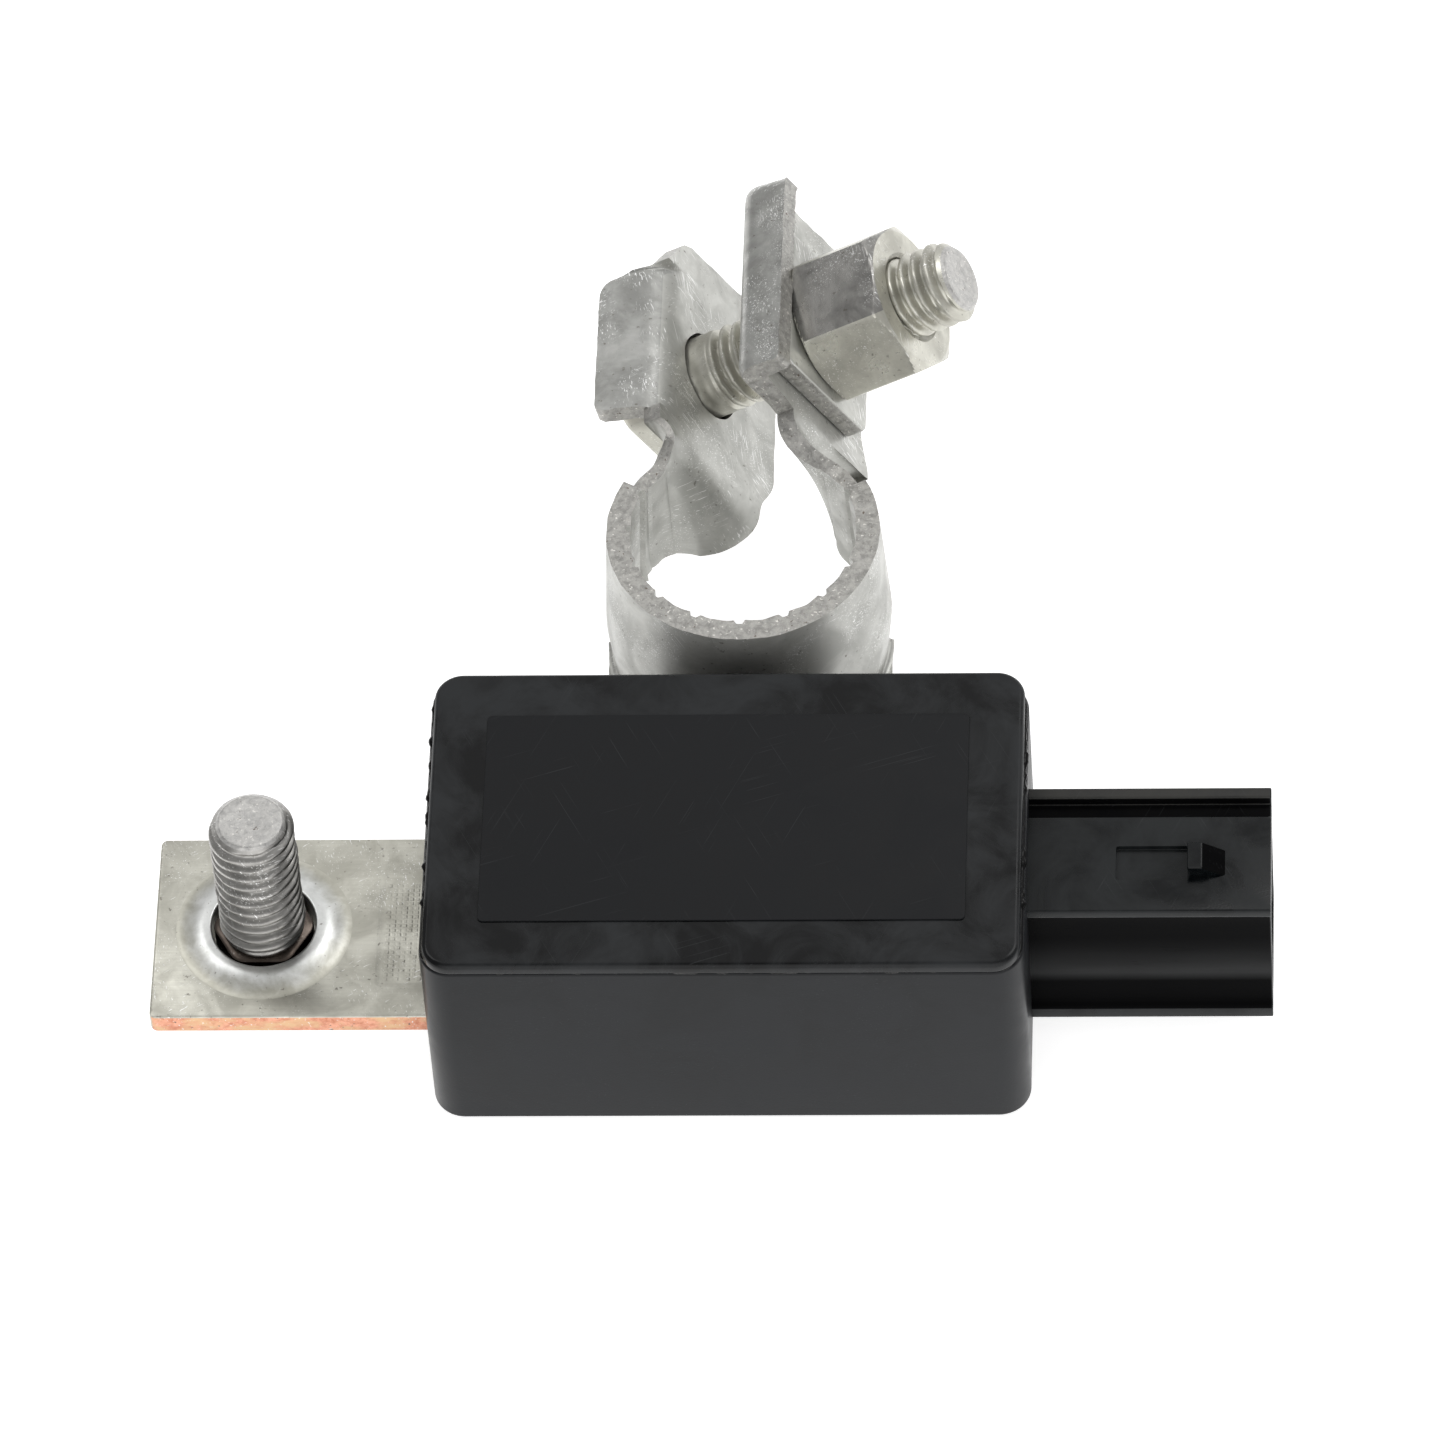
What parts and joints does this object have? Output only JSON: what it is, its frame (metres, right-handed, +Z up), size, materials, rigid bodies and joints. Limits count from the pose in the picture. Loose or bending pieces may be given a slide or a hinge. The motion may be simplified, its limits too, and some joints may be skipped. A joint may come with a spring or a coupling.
{
  "type": "battery monitor shunt",
  "caption": "Battery monitor shunt: black moulded sensor housing with plug socket, tinned copper bus bar with a ground stud, and a battery post clamp with an inclined clamp bolt.",
  "frame": {"origin": "centre of the housing's underside", "axes": "+Z up out of the lid, +X towards the plug socket, +Y towards the battery post clamp"},
  "size_m": [0.077, 0.064, 0.0269],
  "materials": {
    "housing_plastic": "satin",
    "adhesive": "gloss",
    "label": "matte",
    "tinned_copper": "brushed",
    "manganin": "satin",
    "clamp_sheet": "satin",
    "zinc_plate": "satin",
    "stud_steel": "satin",
    "board": "satin",
    "package": "matte",
    "ceramic_body": "satin",
    "contact_metal": "satin"
  },
  "bodies": {
    "sensor_body": {"housing_tub": "housing_plastic", "housing_cover": "housing_plastic", "cover_adhesive_bead": "adhesive", "blank_label": "label", "busbar_stud_side": "tinned_copper", "ground_stud": "stud_steel", "shunt_resistor": "manganin", "busbar_clamp_side": "tinned_copper", "terminal_clamp": "clamp_sheet", "clamp_bolt": "zinc_plate", "circuit_board": "board", "sense_lead_stud_side": "contact_metal", "sense_lead_clamp_side": "contact_metal", "connector_pin_supply": "contact_metal", "connector_pin_data": "contact_metal", "controller_chip": "package", "bus_transceiver_chip": "package", "supply_diode": "package", "filter_capacitor_1": "ceramic_body", "filter_capacitor_2": "ceramic_body", "supply_capacitor": "ceramic_body", "clock_crystal": "contact_metal", "temperature_sensor": "ceramic_body"},
    "clamp_washer_body": {"clamp_washer": "clamp_sheet"},
    "clamp_nut_body": {"clamp_nut": "zinc_plate"}
  },
  "joints": [
    {"name": "washer_travel", "type": "slide", "parent": "sensor_body", "child": "clamp_washer_body", "axis": [0.8572, 0, 0.515], "range_m": [0, 0.004]},
    {"name": "nut_spin", "type": "hinge", "parent": "clamp_washer_body", "child": "clamp_nut_body", "pos_m": [0.0005, 0.0418, 0.0155], "axis": [0.8572, 0, 0.515], "range_deg": [0, 1440]}
  ],
  "couplings": [
    {"joint": "nut_spin", "follows": "washer_travel", "rad_per_m": 6283.2}
  ]
}
